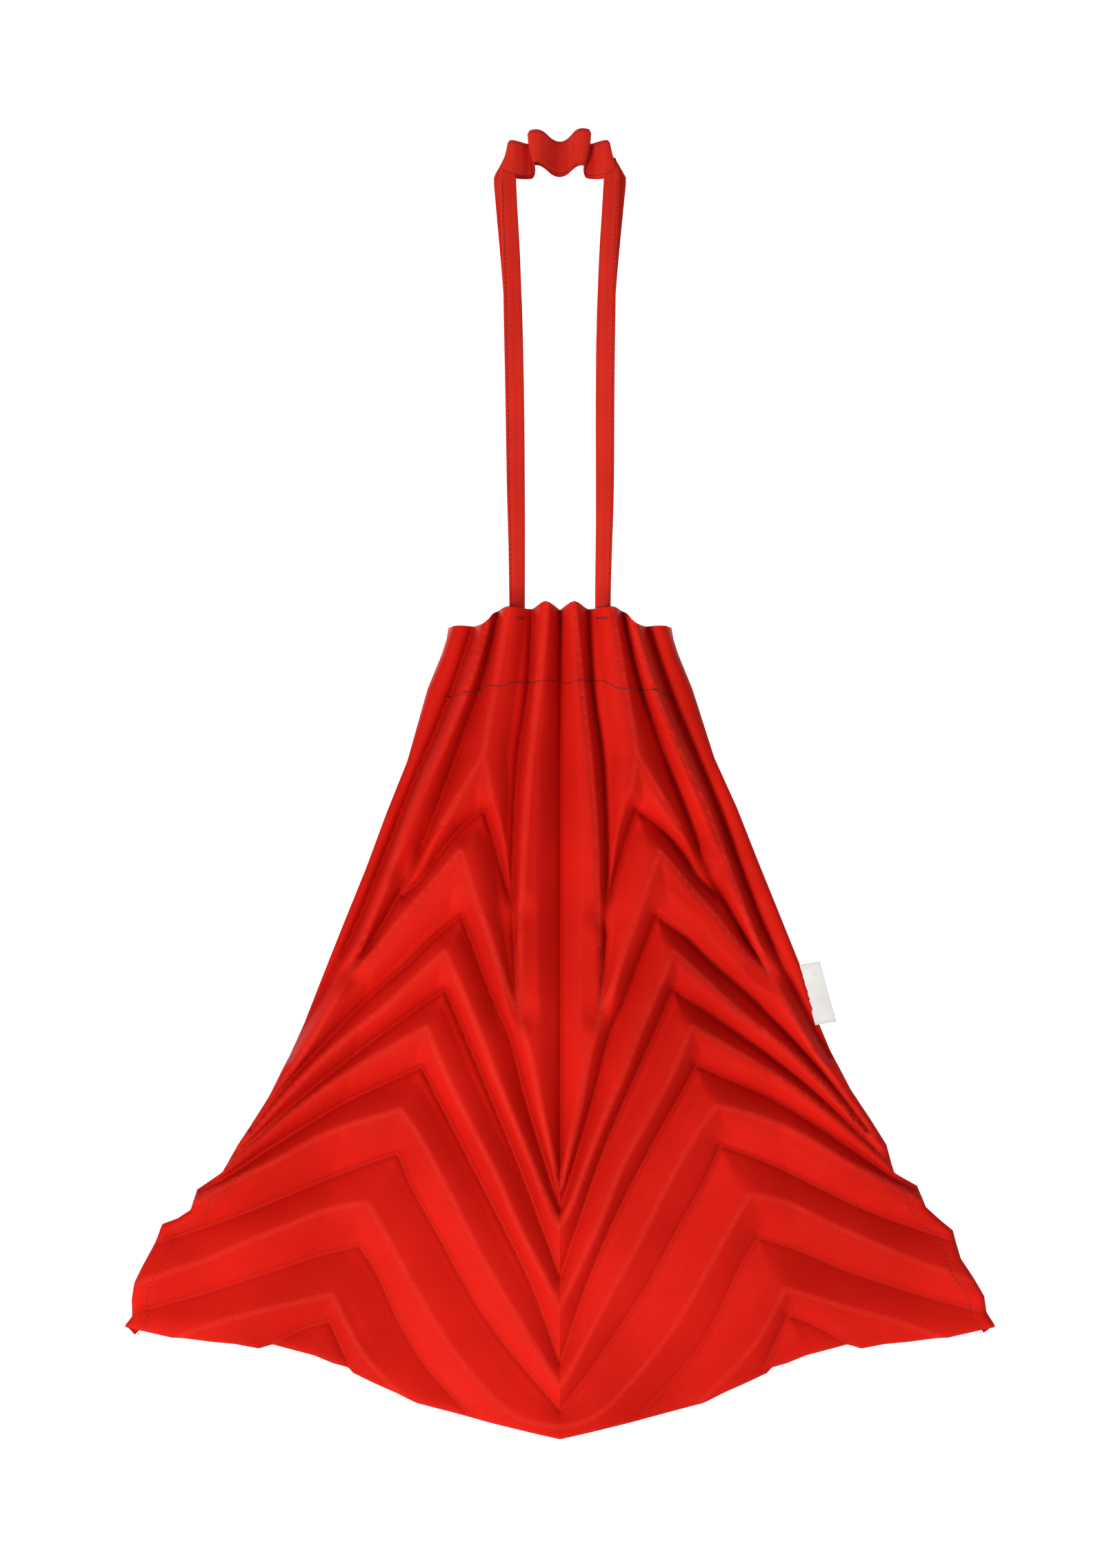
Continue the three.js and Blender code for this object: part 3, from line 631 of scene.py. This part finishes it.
def cloth_material(name, base, deep, bright):
    """Fine ribbed polyester, nearly matte: the rib turns at every crease; ridges get a painted highlight,
    valleys painted shade and, lower down, thin painted highlight lines.
    """
    n = Nodes(name)
    x, down, height = n.split(n.attribute("cloth_place"))
    ridge, valley, edge = n.split(n.attribute("crease"))
    place = n.object_place()
    phase = n.math("MULTIPLY_ADD", height, 1.1, down)
    rib = n.math("SINE", n.math("MULTIPLY", phase, 2 * math.pi / 0.95))
    cross = n.math("SINE", n.math("MULTIPLY", n.math("MULTIPLY_ADD", height, 0.4, x), 2 * math.pi / 0.62))
    weave = n.math("MULTIPLY_ADD", cross, 0.35, rib)
    patch = n.noise(place, 9.0, 3.0)
    fine = n.noise(place, 260.0, 2.0)
    on_ridge = n.ramp(ridge, 0.4, 2.8, 1.0, 0.0)
    valley_shade = n.ramp(valley, 0.0, 4.0, 1.0, 0.0)
    # thin painted highlight lines along the valleys, only in the lower part
    line = n.math("MULTIPLY", n.ramp(valley, 0.15, 0.7, 1.0, 0.0), n.ramp(down, 220.0, 360.0))
    colour = n.mix(n.ramp(patch, 0.3, 0.7, 0.0, 0.55), base, deep)
    # painted shade in the valleys, stronger in the upper part
    colour = n.mix(n.math("MULTIPLY", valley_shade, n.ramp(down, 300.0, 430.0, 0.8, 0.35)), colour, deep)
    # painted highlight on the ridges, broken up by fine noise
    painted_ridge_highlight = n.math("MULTIPLY", on_ridge, n.ramp(fine, 0.2, 0.8, 0.12, 0.3))
    colour = n.mix(painted_ridge_highlight, colour, bright)
    colour = n.mix(n.math("MULTIPLY", line, 0.18), colour, bright)
    colour = n.mix(n.ramp(weave, -1.2, 1.2, 0.16, 0.0), colour, deep)
    n.surface(colour, n.ramp(fine, 0.2, 0.8, 0.5, 0.64), Specular_IOR_Level=0.24,
              Specular_Tint=rgb(1.0, 0.2, 0.13), Sheen_Weight=0.05, Sheen_Roughness=0.35,
              Sheen_Tint=rgb(1.0, 0.16, 0.1))
    relief = n.math("MULTIPLY_ADD", weave, 0.5, n.math("MULTIPLY", fine, 1.2))
    n.bump(relief, 0.35, 0.00022)
    return n.material


def strap_material(name, base, deep, bright):
    """The same cloth folded lengthwise: herringbone rib, painted highlights along its edges and painted shade
    in the crimped top's hollows.
    """
    n = Nodes(name)
    run, across, painted_edge_highlight = n.split(n.attribute("cloth_place"))
    place = n.object_place()
    zigzag = n.math("PINGPONG", n.math("ADD", across, 40.0), 2.6)
    rib = n.math("SINE", n.math("MULTIPLY", n.math("MULTIPLY_ADD", zigzag, 0.8, run), 2 * math.pi / 1.0))
    fine = n.noise(place, 320.0, 2.0)
    patch = n.noise(place, 16.0, 2.0)
    colour = n.mix(n.ramp(patch, 0.3, 0.7, 0.0, 0.5), base, deep)
    colour = n.mix(n.ramp(rib, -1.0, 1.0, 0.28, 0.0), colour, deep)
    # painted highlight along the strap's edges
    colour = n.mix(n.ramp(painted_edge_highlight, 0.55, 1.0, 0.0, 0.4), colour, bright)
    painted_hollow_shade = n.split(n.attribute("crease"))[0]
    # painted shade in the crimped top's hollows
    colour = n.mix(n.ramp(painted_hollow_shade, 0.1, 1.0, 0.0, 0.85), colour, deep)
    n.surface(colour, n.ramp(fine, 0.2, 0.8, 0.5, 0.64), Specular_IOR_Level=0.3,
              Specular_Tint=rgb(1.0, 0.4, 0.3), Sheen_Weight=0.08, Sheen_Roughness=0.4,
              Sheen_Tint=rgb(1.0, 0.25, 0.18))
    n.bump(n.math("MULTIPLY_ADD", rib, 0.6, fine), 0.45, 0.00022)
    return n.material


def thread_material(name, base, deep):
    """Twisted sewing thread, darker than the cloth."""
    n = Nodes(name)
    place = n.object_place()
    x, _, z = n.split(place)
    twist = n.math("SINE", n.math("MULTIPLY", n.math("ADD", x, z), 2 * math.pi / 0.0005))
    colour = n.mix(n.ramp(twist, -1, 1, 0.0, 0.6), base, deep)
    n.surface(colour, n.ramp(n.noise(place, 400.0), 0.3, 0.7, 0.45, 0.6))
    n.bump(twist, 0.3, 0.0001)
    return n.material


def label_material(name):
    """Off-white satin tape: fine warp lines, a faint sheen and grey at the cut edges."""
    n = Nodes(name)
    x, down, edge = n.split(n.attribute("cloth_place"))
    place = n.object_place()
    warp_line = n.math("SINE", n.math("MULTIPLY", x, 2 * math.pi / 0.45))
    weft = n.math("SINE", n.math("MULTIPLY", down, 2 * math.pi / 0.6))
    tone = n.noise(place, 60.0, 3.0)
    colour = n.mix(n.ramp(tone, 0.3, 0.7), rgb(0.80, 0.785, 0.75), rgb(0.73, 0.715, 0.685))
    colour = n.mix(n.ramp(edge, 0.0, 1.0, 0.45, 0.0), colour, rgb(0.55, 0.5, 0.48))
    n.surface(colour, n.ramp(tone, 0.3, 0.7, 0.38, 0.5), Sheen_Weight=0.15)
    n.bump(n.math("MULTIPLY_ADD", weft, 0.5, warp_line), 0.25, 0.00012)
    return n.material


CLOTH = cloth_material("red_cloth", rgb(0.67, 0.011, 0.006), rgb(0.4, 0.003, 0.001),
                       rgb(0.8, 0.045, 0.026))
# the inside cloth: the red cloth painted darker, as painted shade
SHADED_INSIDE = cloth_material("inner_cloth_painted_shade", rgb(0.42, 0.008, 0.004), rgb(0.24, 0.002, 0.002),
                        rgb(0.55, 0.03, 0.02))
STRAP = strap_material("strap_cloth", rgb(0.74, 0.024, 0.012), rgb(0.48, 0.007, 0.004),
                       rgb(0.82, 0.07, 0.045))
THREAD = thread_material("red_thread", rgb(0.24, 0.005, 0.004), rgb(0.14, 0.002, 0.002))
LABEL = label_material("label_satin")


# ------------------------------------------------------------------ baking each piece's place into its mesh


def follow_wing(piece, sign):
    """Bakes the piece's place into its mesh."""
    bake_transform(piece)


def follow_back(piece, sign):
    """Bakes the piece's place into its mesh."""
    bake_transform(piece)


# ------------------------------------------------------------------ the bag


def hem(name, wall, mouth, follow):
    """Half a wall's hem, from the mouth's edge over and down the inside, its stitches and its bar tack."""
    depths = [0.0, -0.35, 0.0, 1.0, 2.5, 4.0] + list(np.linspace(6.0, HEM_DEPTH, 30))
    offsets = [0.0, -0.5, -1.2, -1.7] + [-HEM_INSIDE] * 32
    piece = strip(f"{name}_hem", wall, mouth[mouth[:, 0] < HEM_OUT], depths, offsets)
    follow(piece, wall.sign)

    outs = np.arange(1.5, wing_line_out(HEM_ROW_DOWN) - 2, 0.8)
    down = HEM_ROW_DOWN + 4.0 * smooth((outs - 18) / 22) + 6.5 * smooth((outs - 44) / 32)
    down = down + 0.9 * np.sin(outs * 0.16 + wall.sign) + 0.6 * np.sin(outs * 0.41)
    run = surface_run(wall, np.column_stack([outs, down]), 0.12)
    follow(stitches(f"{name}_hem_stitches", [run], *HEM_STITCH), wall.sign)

    outs = np.linspace(*TACK_OUT, 9)
    rows = [TACK_DOWN + 0.3 * k + 0.25 * np.sin(outs * 1.1 + k) for k in range(4)]
    runs = [surface_run(wall, np.column_stack([outs, row]), 0.15) for row in rows]
    follow(stitches(f"{name}_bar_tack", runs, *TACK_STITCH), wall.sign)


def seam(hand, wall):
    """A side seam: its allowance lies inside, and its stitches show along the lower side edge."""
    side = along(spline(SIDES[wall.sign], 3.0), 1.2)[20:]
    tangent = np.gradient(side, axis=0)
    tangent /= np.linalg.norm(tangent, axis=1)[:, None]
    inward = np.column_stack([-tangent[:, 1], tangent[:, 0]])
    grid = np.vstack([side + inward * row for row in SEAM_ROWS])
    world, height = wall.place(grid)
    world[:, 1] = -height + 0.15 * np.sin(grid[:, 1] * 0.2)
    marks = {
        "cloth_place": np.column_stack([wall.sign * grid[:, 0], grid[:, 1], height]),
        "crease": np.full((len(grid), 3), NO_CREASE),
    }
    faces = quads(len(SEAM_ROWS), len(side))
    piece = make(f"{hand}_seam_edge", world, faces, SHADED_INSIDE, marks)
    follow_wing(piece, wall.sign)

    low = side[:, 1] > SEAM_STITCH_FROM
    run = surface_run(wall, side[low] + inward[low] * SEAM_STITCH_IN, 0.1)
    follow_wing(stitches(f"{hand}_seam_stitches", [run], *SEAM_STITCH), wall.sign)


HALVES = {"left": -1, "right": 1}
walls = {(side, sign): Wall(side, sign) for side in (-1, 1) for sign in (-1, 1)}
front_grid, back_grid = ((1.35, 1.6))

for hand, sign in HALVES.items():
    front, back = walls[-1, sign], walls[1, sign]
    for name, wall, part, spacing, follow, flat in (
        (f"front_{hand}_cloth", front, "all", front_grid, follow_wing, FRONT_FLAT),
        (f"back_{hand}_wing_cloth", back, "wing", back_grid, follow_wing, WING_FLAT),
        (f"back_{hand}_middle_cloth", back, "centre", back_grid, follow_back, MIDDLE_FLAT),
    ):
        piece = cloth(name, wall, part, spacing)
        follow(piece, sign)
    mouth = along(spline(MOUTH_EDGE + SIDES[sign][:1], 3.0), 0.8)
    hem(f"front_{hand}", front, mouth, follow_wing)
    hem(f"back_{hand}", back, mouth, follow_back)
    seam(hand, front)

# ------------------------------------------------------------------ handles

def leg_line(side, sign, spread):
    """A leg's middle line: out, depth, height and width, from inside the hem up behind the crimped top."""
    line = spline(LEG, 6.0)
    out, z = line[:, 0], line[:, 1]
    at_top, at_mouth = HANDLE_SPACING / 2, wall_gap(LEG[2][0], 0.0) / 2 - 2.9
    y = side * (at_top + (at_mouth - at_top) * np.clip(z / MOUTH_Z, 0, 1))
    y += -side * 1.3 * smooth((z + 22) / 18)
    wider = spread * np.clip(1 + (z + 8) / 72, 0, 1) * (1 - 0.9 * smooth((z + 6) / 10))
    x = sign * (out + wider)
    x += 0.5 * np.sin(z * 0.021 + sign) * smooth((z + 270) / 60)
    return np.column_stack([x, y, z, line[:, 2]])


def sewn_in(wall, x, y, z):
    """Depth of a handle's places: their own, or that of the hem's inside where the end is sewn in."""
    cloth_y = wall.place(np.column_stack([np.abs(x), np.maximum(MOUTH_Z - z, -2.0)]))[0][:, 1]
    return y + (cloth_y - wall.side * SEWN_INSIDE - y) * smooth((SEWN_FROM - z) / 12)


def leg_section(width):
    """A strap folded lengthwise: a round fold at its left edge and two layers at its right one."""
    face = [(-1.0, 0.42), (-0.985, 0.85), (-0.9, 1.0), (-0.74, 0.86), (-0.6, 0.96), (-0.3, 1.05),
            (0.1, 1.05), (0.5, 1.0), (0.9, 0.95), (0.99, 0.75), (0.99, 0.3), (0.93, 0.1)]
    loop = face + [(a, -b) for a, b in reversed(face)]
    return [(a * (width / 2), b * STRAP_HALF) for a, b in loop]


def leg_mesh(side, sign, spread):
    """Points, marks and faces of one leg."""
    line = leg_line(side, sign, spread)
    places, puffs, marks = [], [], []
    for x, y, z, width in line:
        for a, b in leg_section(width):
            places.append((x + a, y, z))
            puffs.append(side * b)
            marks.append((z, a, 1.0 if abs(a) > width * 0.47 else 0.0))
    places = np.array(places)
    places[:, 1] = sewn_in(walls[side, sign], *places.T) + puffs
    return places.tolist(), marks, tube(len(line), len(places) // len(line))


def band_mesh(side, spread):
    """The crimped top, where the strap stands on edge and opens to its full width.

    Returns points, marks and faces, then the line it follows seen from above, its stations and its normals.
    """
    half = np.array(CRIMPS)
    half[:, 2] -= 0.14 * spread * half[:, 4].clip(0)
    half[:, 4] *= 1 + spread / CRIMPS[-1][4] * (half[:, 4] > 0)
    left = half * [-1, 1, 1, 1, -1]
    left[:, 3] -= 0.7 * smooth((half[:, 3] - 15) / 5)
    right = half.copy()
    right[:, 0] *= 0.955
    right[:, 2] += 0.3 * np.sin(np.arange(len(half)))
    stations = spline(np.vstack([left[::-1], right[1:]]), 0.8)
    rows = np.linspace(0, 1, 15)
    plan = stations[:, :2] * [1, -1] + [0, side * HANDLE_SPACING / 2]
    tangent = np.gradient(plan, axis=0)
    tangent /= np.linalg.norm(tangent, axis=1)[:, None]
    normal = np.column_stack([tangent[:, 1], -tangent[:, 0]])
    s = np.concatenate([[0], np.cumsum(np.linalg.norm(np.diff(plan, axis=0), axis=1))])
    points, marks = [], []
    for face in (1, -1):
        for t in rows:
            edge = min(t, 1 - t)
            h = BAND_HALF * math.sqrt(max(0.0, 1 - (1 - min(edge / 0.07, 1.0)) ** 2)) * face
            lean = 0.9 * math.sin(math.pi * t)
            for i in range(len(stations)):
                low, high = stations[i, 2], stations[i, 3]
                p = plan[i] + normal[i] * (h + 0.15 * lean)
                points.append((p[0] + stations[i, 4] * (1 - t) ** 1.5, p[1], low + (high - low) * t))
                marks.append(((high - low) * t, s[i], 1.0 if edge < 0.05 else 0.0))
    n = len(stations)
    size = n * len(rows)
    top = size - n
    faces = quads(len(rows), n) + quads(len(rows), n, size, flip=True)
    for i in range(n - 1):
        faces.append((size + i, size + i + 1, i + 1, i))
        faces.append((top + i, top + i + 1, size + top + i + 1, size + top + i))
    for a in range(0, top, n):
        b = size + a
        faces.append((a, a + n, b + n, b))
        a, b = a + n - 1, b + n - 1
        faces.append((b, b + n, a + n, a))
    return points, marks, faces, plan, stations, normal


def handle(name, side, spread, body):
    """A handle: its two legs and its crimped top in one piece, and the stitching along its edges."""
    legs = [leg_mesh(side, sign, spread) for sign in (-1, 1)]
    *band, plan, stations, normal = band_mesh(side, spread)
    points, marks, faces = [], [], []
    for more_points, more_marks, more_faces in legs + [band]:
        base = len(points)
        points += more_points
        marks += more_marks
        faces += [tuple(i + base for i in face) for face in more_faces]
    # painted shade for the crimped top's hollows: the deeper, the darker
    painted_hollow_shade = np.clip(-stations[:, 1] / CRIMP_DEEPEST, 0, 1) ** 0.8
    crease = np.zeros((len(points), 3))
    crease[-len(band[0]):, 0] = np.tile(painted_hollow_shade, len(band[0]) // len(painted_hollow_shade))
    strap = make(name, points, faces, STRAP, {"cloth_place": marks, "crease": crease})
    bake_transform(strap)

    runs = []
    for sign in (-1, 1):
        line = leg_line(side, sign, spread)
        x, y, z, width = line[line[:, 2] < STRAP_ROW_BELOW].T
        x = x + sign * STRAP_ROW * width / 2
        path = np.column_stack([x, sewn_in(walls[side, sign], x, y, z) + side * STRAP_THREAD, z])
        runs.append((path, np.tile([0.0, float(side), 0.0], (len(path), 1))))
    row = stitches(f"{name}_stitches", runs, *STRAP_STITCH)
    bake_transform(row)

    outward = normal * -side
    runs = []
    for share in BAND_ROWS:
        z = stations[:, 2] + (stations[:, 3] - stations[:, 2]) * share
        p = plan + outward * BAND_THREAD
        p[:, 0] += stations[:, 4] * (1 - share) ** 1.5
        runs.append((np.column_stack([p, z]), np.column_stack([outward, np.zeros(len(z))])))
    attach(stitches(f"{name}_top_stitches", runs, *BAND_STITCH), body)
    return strap


front_strap = handle("front_strap", -1, 0.0, "front_handle")
rear_strap = handle("rear_strap", 1, REAR_SPREAD, "rear_handle")

# ------------------------------------------------------------------ blank side label

def label():
    """A strip of satin tape folded in half, its two layers a little apart, with its fold outwards."""
    top = np.array([145.4, 0.0, -486.2])
    across = np.array([0.985, 0.0, 0.17])
    down = np.array([0.265, 0.0, -0.964])
    rows, columns = 24, 14
    points, marks = [], []
    for face in (-1, 1):
        for j in range(rows + 1):
            t = j / rows
            for i in range(columns + 1):
                s = i / columns
                x = LABEL_WIDTH * s
                swell = 0.55 * math.sin(math.pi * min(s * 1.05, 1.0)) * (0.6 + 0.4 * math.sin(3 * t))
                puff = face * (0.22 + swell) if i < columns else 0.0
                bend = 1.1 * math.sin(math.pi * t) * s - 1.3 * s * s
                p = top + across * x + down * LABEL_LENGTH * t
                points.append((p[0], puff + bend, p[2]))
                marks.append((x, LABEL_LENGTH * t, min(t, 1 - t) * 12))
    size = len(points) // 2
    faces = quads(rows + 1, columns + 1, flip=True) + quads(rows + 1, columns + 1, size)
    piece = make("blank_side_label", points, faces, LABEL, {"cloth_place": marks})
    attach(piece, "side_label")
    return piece


tag = label()

# ------------------------------------------------------------------ hiding the CAD parts that the new pieces replace

for hand in HALVES:
    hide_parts(f"{hand}_front_wing")
    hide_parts("front_panel")
    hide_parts(f"{hand}_back_wing")
    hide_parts("back_panel")
    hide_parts(f"{hand}_seam_allowance")
    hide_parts(f"{hand}_seam_stitch")
    for wall in ("front", "back"):
        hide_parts(f"{wall}_facing")
        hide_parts(f"{wall}_hem_stitch")
        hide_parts(f"{wall}_bar_tack_{hand}")
    for end in ("front", "rear"):
        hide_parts(f"{end}_handle_stitch_{hand}")
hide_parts("front_handle", "front_strap_end_left", "front_strap_end_right")
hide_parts("rear_handle", "back_strap_end_left", "back_strap_end_right")
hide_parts("side_label")

# ------------------------------------------------------------------ floor, backdrop, lights and camera

def plane(name, corners, material):
    """A flat part of the surroundings."""
    mesh = bpy.data.meshes.new(name)
    mesh.from_pydata(corners, [], [(0, 1, 2, 3)])
    mesh.materials.append(material)
    obj = bpy.data.objects.new(name, mesh)
    bpy.context.scene.collection.objects.link(obj)
    return obj


pale = Nodes("pale_floor")
pale.surface(rgb(0.9, 0.9, 0.9), 0.8)
glow = bpy.data.materials.new("white_backdrop")
glow.use_nodes = True
glow.node_tree.nodes.clear()
emit = glow.node_tree.nodes.new("ShaderNodeEmission")
emit.inputs["Color"].default_value = rgb(1, 1, 1)
emit.inputs["Strength"].default_value = 1.2
screen = glow.node_tree.nodes.new("ShaderNodeOutputMaterial")
glow.node_tree.links.new(emit.outputs[0], screen.inputs[0])
REACH, FLOOR, BACK = 9, -2.4, 3.6                    # in metres
plane("floor", [(-REACH, -REACH, FLOOR), (REACH, -REACH, FLOOR), (REACH, REACH, FLOOR),
                (-REACH, REACH, FLOOR)], pale.material)
plane("backdrop", [(-REACH, BACK, FLOOR), (REACH, BACK, FLOOR), (REACH, BACK, 8), (-REACH, BACK, 8)], glow)

world = bpy.data.worlds.new("studio")
world.use_nodes = True
world.node_tree.nodes["Background"].inputs["Color"].default_value = rgb(1, 1, 1)
world.node_tree.nodes["Background"].inputs["Strength"].default_value = 0.36
bpy.context.scene.world = world
bpy.context.scene.view_settings.view_transform = "Standard"


LAMPS_AIM = Vector((0, 0, -0.45))


def lamp(name, where, size, power):
    data = bpy.data.lights.new(name, "AREA")
    data.shape = "SQUARE"
    data.size = size
    data.energy = power
    obj = bpy.data.objects.new(name, data)
    obj.location = where
    obj.rotation_euler = (LAMPS_AIM - Vector(where)).to_track_quat("-Z", "Y").to_euler()
    bpy.context.scene.collection.objects.link(obj)


lamp("key", (-1.3, -2.0, -1.45), 0.8, 53)
lamp("fill", (0.9, -2.1, 0.3), 1.4, 4)
lamp("behind", (-1.2, 1.8, 0.8), 1.4, 16)

camera = bpy.data.cameras.new("camera")
camera.lens = 75.4
camera.sensor_width = 36
eye = bpy.data.objects.new("camera", camera)
eye.location = (0, -2.0, -0.376)
eye.rotation_euler = (math.pi / 2, 0, 0)
bpy.context.scene.collection.objects.link(eye)
bpy.context.scene.camera = eye
